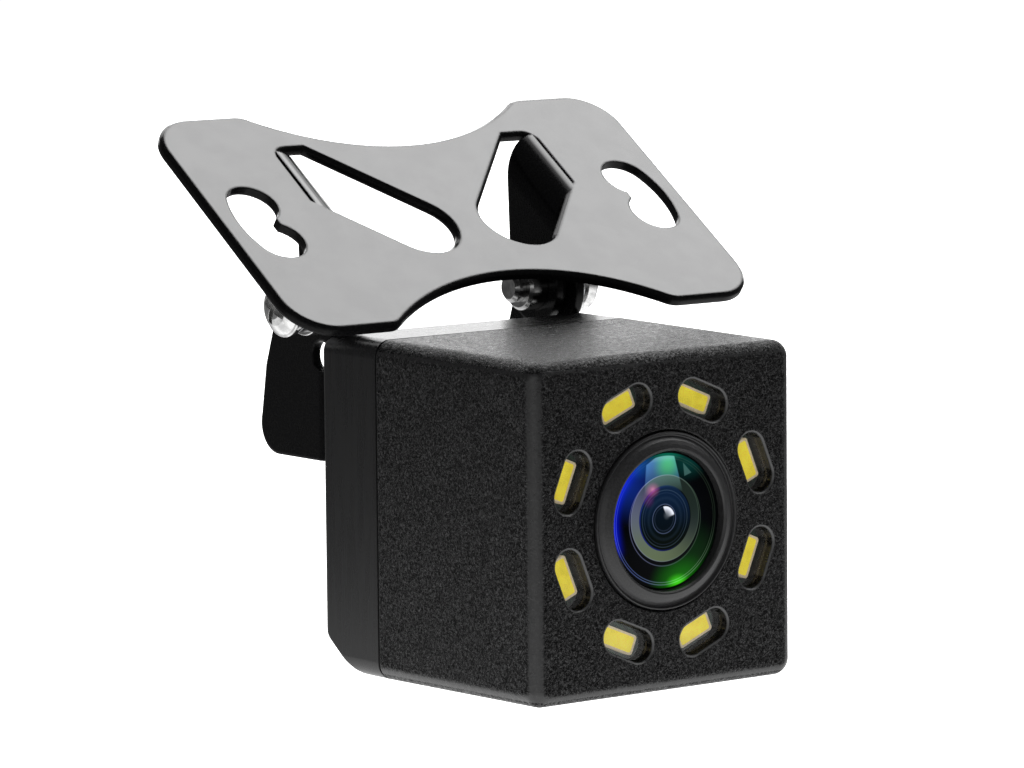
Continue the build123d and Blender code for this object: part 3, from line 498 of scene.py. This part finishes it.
MATERIALS = {
    "housing_textured": eroded_plastic(),
    "cover_satin": satin_plastic(),
    "bracket_paint": gloss_paint(),
    "nickel": bright_nickel(),
    "zinc": zinc_steel(),
    "black_aluminium": black_anodised(),
    "lens_glass": plain_glass("optical_glass", (0.82, 0.90, 0.96)),
    "clear_acrylic": clear_pad(),
    "filter_glass": plain_glass("infrared_filter", (0.45, 0.72, 0.78)),
    "phosphor": phosphor(),
    "led_ceramic": led_body(),
    "pcb": circuit_board(),
    "component_black": grained("moulded_epoxy", (0.012, 0.012, 0.012), (0.028, 0.028, 0.028)),
    "ceramic_brown": grained("capacitor_ceramic", (0.24, 0.15, 0.08), (0.36, 0.25, 0.15)),
    "sensor_silicon": grained("sensor_package", (0.05, 0.055, 0.07), (0.09, 0.09, 0.11), (0.15, 0.3)),
    "gold": grained("gold_pins", (0.70, 0.50, 0.16), (0.85, 0.66, 0.28), (0.2, 0.32), metal=1.0),
    "capacitor_can": grained("bare_aluminium", (0.62, 0.62, 0.63), (0.78, 0.78, 0.79), (0.25, 0.4),
                             metal=1.0),
    "seal_rubber": rubber("boot_rubber"),
    "cable_rubber": rubber("cable_sheath"),
    "nylon_white": grained("natural_nylon", (0.66, 0.64, 0.58), (0.78, 0.77, 0.72), (0.35, 0.5)),
    "wire_red": grained("red_insulation", (0.38, 0.012, 0.010), (0.55, 0.025, 0.018), (0.3, 0.45)),
    "wire_black": grained("black_insulation", (0.010, 0.010, 0.010), (0.022, 0.022, 0.022), (0.3, 0.45)),
    "wire_yellow": grained("yellow_insulation", (0.58, 0.40, 0.012), (0.75, 0.56, 0.03), (0.3, 0.45)),
    "wire_white": grained("white_insulation", (0.62, 0.62, 0.60), (0.76, 0.76, 0.74), (0.3, 0.45)),
    "holder_plastic": grained("glass_filled_nylon", (0.012, 0.012, 0.013), (0.03, 0.03, 0.032), (0.4, 0.6)),
}

SLOT = {entry["node"]: entry["material_slot"] for entry in frame["record"]["subparts"]}
for node, obj in frame["nodes"].items():
    material = MATERIALS[SLOT[node]]
    obj.data.materials.clear()
    obj.data.materials.append(material)

bezel = frame["nodes"]["lens_bezel"]
bezel.data.materials.clear()
# painted light: the bezel gets a copy of the anodised black made a quarter lighter
bezel.data.materials.append(black_anodised("bezel_painted_lighter", 1.25))
dome = frame["nodes"]["front_element"]
dome.data.materials.clear()
dome.data.materials.append(lens_dome())


# ---------------------------------------------------------------- stage
def only_for_camera(tree, seen, unseen):
    """Colour the camera sees, and another for every other ray."""
    path = tree.nodes.new("ShaderNodeLightPath")
    mix = tree.nodes.new("ShaderNodeMix")
    mix.data_type = "RGBA"
    tree.links.new(path.outputs["Is Camera Ray"], mix.inputs[0])
    mix.inputs[6].default_value = (*unseen, 1)
    mix.inputs[7].default_value = (*seen, 1)
    return mix.outputs[2]


def build_world():
    world = bpy.data.worlds.new("studio")
    world.use_nodes = True
    tree = world.node_tree
    back = tree.nodes["Background"]
    tree.links.new(only_for_camera(tree, (1.0, 1.0, 1.0), (0.11, 0.11, 0.112)), back.inputs["Color"])
    bpy.context.scene.world = world


def build_floor(z):
    """White to the camera; to everything else a light table that fades out away from the object."""
    mesh = bpy.data.meshes.new("floor")
    half = 3.0
    corners = [(-half, -half, z), (half, -half, z), (half, half, z), (-half, half, z)]
    mesh.from_pydata(corners, [], [(0, 1, 2, 3)])
    floor = bpy.data.objects.new("floor", mesh)
    bpy.context.collection.objects.link(floor)
    g = Graph("pale_floor")
    away = g.vec("LENGTH", g.vec("SUBTRACT", g.mm, (0.0, 15.0, z / MM)))
    table = g.span(away, 50.0, 185.0, 1.30, 0.10)
    path = g.add("LightPath").outputs["Is Camera Ray"]
    hidden = g.math("MULTIPLY", g.math("SUBTRACT", 1.0, path), table)
    glow = g.math("ADD", g.math("MULTIPLY", path, 0.95), hidden)
    tone = g.mix(path, (0.10, 0.10, 0.10), (0.93, 0.93, 0.93))
    mesh.materials.append(g.shade(g.principled(tone, 0.9, None, Specular_IOR_Level=0.1,
                                               Emission_Color=(1.0, 1.0, 1.0), Emission_Strength=glow)))


def area_light(name, direction, distance, width, height, power, target=(0, 0.015, 0.005)):
    data = bpy.data.lights.new(name, "AREA")
    data.shape = "RECTANGLE"
    data.size, data.size_y = width, height
    data.energy = power
    lamp = bpy.data.objects.new(name, data)
    way = Vector(direction).normalized()
    lamp.location = Vector(target) + way * distance
    lamp.rotation_euler = (-way).to_track_quat("-Z", "Y").to_euler()
    lamp.visible_camera = False
    bpy.context.collection.objects.link(lamp)


def build_camera():
    """Camera with a long lens, seen from the front left and a little above."""
    azimuth, elevation, roll = math.radians(-37.46), math.radians(6.69), math.radians(-0.56)
    back = Vector((math.sin(azimuth) * math.cos(elevation), -math.cos(azimuth) * math.cos(elevation),
                   math.sin(elevation)))
    right = Vector((math.cos(azimuth), math.sin(azimuth), 0))
    up = back.cross(right)
    turned_right = right * math.cos(roll) + up * math.sin(roll)
    turned_up = up * math.cos(roll) - right * math.sin(roll)
    place = (back * CAMERA_DISTANCE - turned_right * 11.98 + turned_up * 10.64) * MM
    data = bpy.data.cameras.new("camera")
    data.sensor_width = 36.0
    data.lens = FOCAL_LENGTH
    data.clip_start = 0.01
    camera = bpy.data.objects.new("camera", data)
    basis = Matrix((turned_right, turned_up, back)).transposed().to_4x4()
    camera.matrix_world = Matrix.Translation(place) @ basis
    bpy.context.collection.objects.link(camera)
    bpy.context.scene.camera = camera


build_world()
build_floor(CAD_BOX[0][2] - FLOOR_DROP * MM)
area_light("sky_box", (0.604, 0.157, 0.781), 0.60, 0.62, 0.62, 3.7)
area_light("back_panel", (0.604, 0.788, 0.16), 0.90, 1.10, 0.26, 2.1)
area_light("rear_top", (0.28, 0.80, 0.54), 0.80, 0.60, 0.34, 2.0)
area_light("front_wall", (-0.78, -0.60, 0.05), 0.70, 0.80, 0.50, 0.95)
build_camera()
bpy.context.scene.view_settings.view_transform = "Standard"
